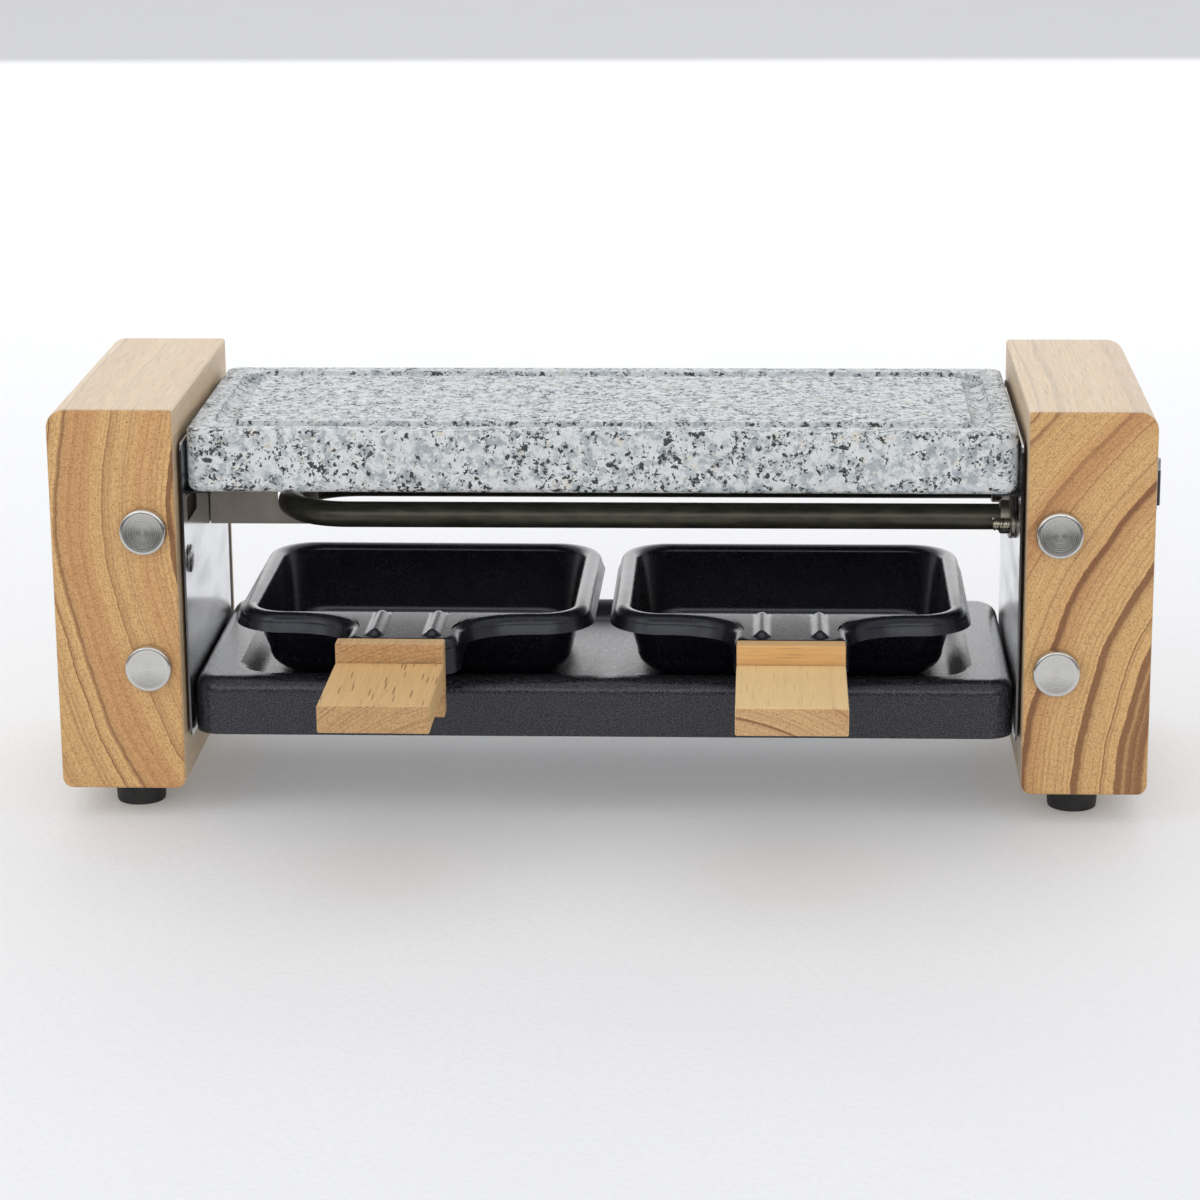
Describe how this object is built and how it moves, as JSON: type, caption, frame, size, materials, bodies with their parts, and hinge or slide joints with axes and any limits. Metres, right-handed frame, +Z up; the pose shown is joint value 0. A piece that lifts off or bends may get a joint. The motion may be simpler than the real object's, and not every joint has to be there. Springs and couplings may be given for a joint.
{
  "type": "raclette grill",
  "caption": "Tabletop raclette grill: granite plate over a U-shaped heater between wooden end blocks, with draw-out pans on a shallow tray.",
  "frame": {"origin": "centre of the whole object's box, at the feet's undersides, on the table", "axes": "+X along the grill towards the switch end, -Y towards the front where the pan handles stand out, +Z up"},
  "size_m": [0.3348, 0.186, 0.1274],
  "materials": {
    "beech": "oiled, fine pores",
    "bright_steel": "turned and brushed",
    "plate_steel": "polished sheet",
    "shield_board": "dark pressed board",
    "black_rubber": "matt",
    "granite": "honed stone, white grey with black specks",
    "black_enamel": "fine speckled black enamel",
    "element_sheath": "dark oxidised tube",
    "strip_steel": "dull bronze tinted",
    "non_stick": "black non-stick, satin",
    "grey_plastic": "moulded dark grey",
    "ceramic": "unglazed white ceramic",
    "brass": "machined",
    "lead_sleeve": "pale woven sleeve"
  },
  "bodies": {
    "stand": {"back_flange_screw": "bright_steel", "back_terminal_bush": "ceramic", "back_terminal_pin": "brass", "base_tray": "black_enamel", "cord_inlet": "black_rubber", "element_flange": "strip_steel", "element_support": "strip_steel", "element_support_screw": "bright_steel", "front_flange_screw": "bright_steel", "front_terminal_bush": "ceramic", "front_terminal_pin": "brass", "fuse_lead": "lead_sleeve", "heating_element": "element_sheath", "left_back_foot": "black_rubber", "left_back_foot_screw": "bright_steel", "left_back_lower_bolt": "bright_steel", "left_back_tray_screw": "bright_steel", "left_back_upper_bolt": "bright_steel", "left_end_block": "beech", "left_front_foot": "black_rubber", "left_front_foot_screw": "bright_steel", "left_front_lower_bolt": "bright_steel", "left_front_tray_screw": "bright_steel", "left_front_upper_bolt": "bright_steel", "left_heat_shield": "shield_board", "left_plate_screw": "bright_steel", "left_side_plate": "plate_steel", "live_lead": "lead_sleeve", "neutral_lead": "lead_sleeve", "right_back_foot": "black_rubber", "right_back_foot_screw": "bright_steel", "right_back_lower_bolt": "bright_steel", "right_back_tray_screw": "bright_steel", "right_back_upper_bolt": "bright_steel", "right_end_block": "beech", "right_front_foot": "black_rubber", "right_front_foot_screw": "bright_steel", "right_front_lower_bolt": "bright_steel", "right_front_tray_screw": "bright_steel", "right_front_upper_bolt": "bright_steel", "right_heat_shield": "shield_board", "right_side_plate": "plate_steel", "switch_body": "grey_plastic", "switch_lead": "lead_sleeve", "terminal_block": "grey_plastic", "thermal_fuse": "bright_steel"},
    "stone": {"granite_plate": "granite"},
    "left_pan": {"left_pan_dish": "non_stick", "left_handle_board": "beech", "left_handle_grip": "beech", "left_pan_left_screw": "bright_steel", "left_pan_right_screw": "bright_steel"},
    "right_pan": {"right_pan_dish": "non_stick", "right_handle_board": "beech", "right_handle_grip": "beech", "right_pan_left_screw": "bright_steel", "right_pan_right_screw": "bright_steel"},
    "rocker": {"switch_rocker": "grey_plastic"}
  },
  "joints": [
    {"name": "stone_lift", "type": "slide", "parent": "stand", "child": "stone", "axis": [0, 0, 1], "range_m": [0, 0.06]},
    {"name": "left_pan_draw", "type": "slide", "parent": "stand", "child": "left_pan", "axis": [0, -0.9524, 0.3048], "range_m": [0, 0.105]},
    {"name": "right_pan_draw", "type": "slide", "parent": "stand", "child": "right_pan", "axis": [0, -0.9524, 0.3048], "range_m": [0, 0.105]},
    {"name": "switch_rock", "type": "hinge", "parent": "stand", "child": "rocker", "pos_m": [0.16046, 0.00916, 0.0995], "axis": [0, 0, 1], "range_deg": [0, 12]}
  ]
}
